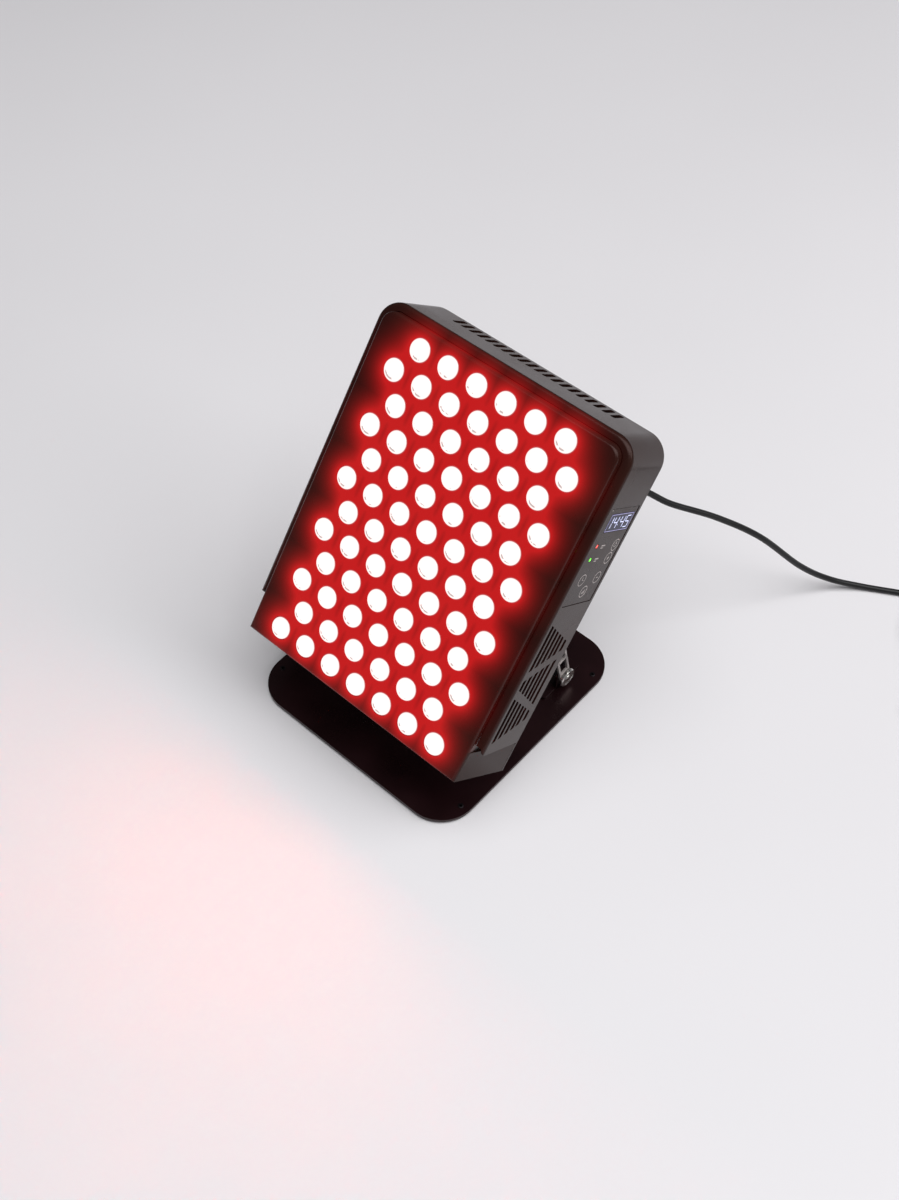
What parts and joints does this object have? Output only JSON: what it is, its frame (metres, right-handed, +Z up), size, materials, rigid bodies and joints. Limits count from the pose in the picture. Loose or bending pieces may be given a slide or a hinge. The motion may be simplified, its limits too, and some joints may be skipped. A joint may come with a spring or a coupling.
{
  "type": "red light therapy panel",
  "caption": "Desk panel of red lights behind lenses in a slim black case, tilting on two slotted arms above a flat rounded base.",
  "frame": {"origin": "centre of the base's footprint, on the table", "axes": "+Z up, the lights face -Y, +X towards the side with the controls"},
  "size_m": [0.4445, 0.4597, 0.2869],
  "materials": {
    "black_painted_steel": "satin",
    "black_base_paint": "satin, slightly glossy",
    "grey_strap": "satin",
    "steel": "satin",
    "silver_knob": "turned face",
    "rubber_pad": "matt",
    "lens": "clear, lit",
    "light_board": "white mask",
    "bare_aluminium": "extruded",
    "label_film": "satin film",
    "display_glass": "gloss",
    "display_light": "lit",
    "red_light": "lit",
    "green_light": "lit",
    "circuit_board": "solder mask",
    "driver_case": "sheet",
    "black_plastic": "fine texture",
    "brown_lead": "satin",
    "red_lead": "satin",
    "grey_cable": "satin",
    "black_cord": "satin"
  },
  "bodies": {
    "base": {"base_plate": "black_base_paint", "power_cord": "black_cord", "power_cord_coil": "black_cord", "plug_boot": "black_cord", "plug_body": "black_plastic", "left_hinge_lug": "steel", "left_pivot_nut": "steel", "left_front_lug_screw": "steel", "left_back_lug_screw": "steel", "front_left_pad": "rubber_pad", "front_left_pad_screw": "steel", "back_left_pad": "rubber_pad", "back_left_pad_screw": "steel", "right_hinge_lug": "steel", "right_pivot_nut": "steel", "right_front_lug_screw": "steel", "right_back_lug_screw": "steel", "front_right_pad": "rubber_pad", "front_right_pad_screw": "steel", "back_right_pad": "rubber_pad", "back_right_pad_screw": "steel"},
    "arm": {"left_arm_strap": "grey_strap", "right_arm_strap": "grey_strap"},
    "panel": {"back_cover": "black_painted_steel", "connector_boot": "black_cord", "control_board": "circuit_board", "control_cable": "grey_cable", "control_label": "label_film", "cord_connector": "black_plastic", "display_module": "display_light", "display_window": "display_glass", "fan_lead": "black_cord", "front_case": "black_painted_steel", "green_indicator": "green_light", "heatsink": "bare_aluminium", "led_board": "light_board", "led_driver": "driver_case", "left_back_ear": "steel", "left_fan_frame": "black_plastic", "left_lower_ear_screw": "steel", "left_tilt_bolt": "steel", "left_tilt_nut": "steel", "left_upper_ear_screw": "steel", "lens_array": "lens", "light_lead": "red_lead", "mains_lead": "brown_lead", "outer_hood": "black_painted_steel", "power_inlet": "black_plastic", "red_indicator": "red_light", "right_back_ear": "steel", "right_fan_frame": "black_plastic", "right_lower_ear_screw": "steel", "right_tilt_bolt": "steel", "right_tilt_nut": "steel", "right_upper_ear_screw": "steel", "upper_power_cord": "black_cord"},
    "left_pivot_knob": {"left_knob": "silver_knob"},
    "right_pivot_knob": {"right_knob": "silver_knob"},
    "left_rotor_body": {"left_fan_rotor": "black_plastic"},
    "right_rotor_body": {"right_fan_rotor": "black_plastic"}
  },
  "joints": [
    {"name": "arm_pivot", "type": "hinge", "parent": "base", "child": "arm", "pos_m": [0, 0.057, 0.017], "axis": [1, 0, 0], "range_deg": [-15, 5], "deforming": ["power_cord", "upper_power_cord"]},
    {"name": "panel_tilt", "type": "hinge", "parent": "arm", "child": "panel", "pos_m": [0, 0.0261, 0.13192], "axis": [1, 0, 0], "range_deg": [-50, 25], "deforming": ["upper_power_cord"]},
    {"name": "left_knob_turn", "type": "hinge", "parent": "base", "child": "left_pivot_knob", "pos_m": [-0.0836, 0.057, 0.017], "axis": [-1, 0, 0], "range_deg": [0, 180]},
    {"name": "right_knob_turn", "type": "hinge", "parent": "base", "child": "right_pivot_knob", "pos_m": [0.0836, 0.057, 0.017], "axis": [1, 0, 0], "range_deg": [0, 180]},
    {"name": "left_fan_spin", "type": "hinge", "parent": "panel", "child": "left_rotor_body", "pos_m": [-0.0435, -0.03072, 0.08622], "axis": [0, 0.8131, -0.5821], "continuous": true},
    {"name": "right_fan_spin", "type": "hinge", "parent": "panel", "child": "right_rotor_body", "pos_m": [0.0435, -0.03072, 0.08622], "axis": [0, 0.8131, -0.5821], "continuous": true}
  ]
}
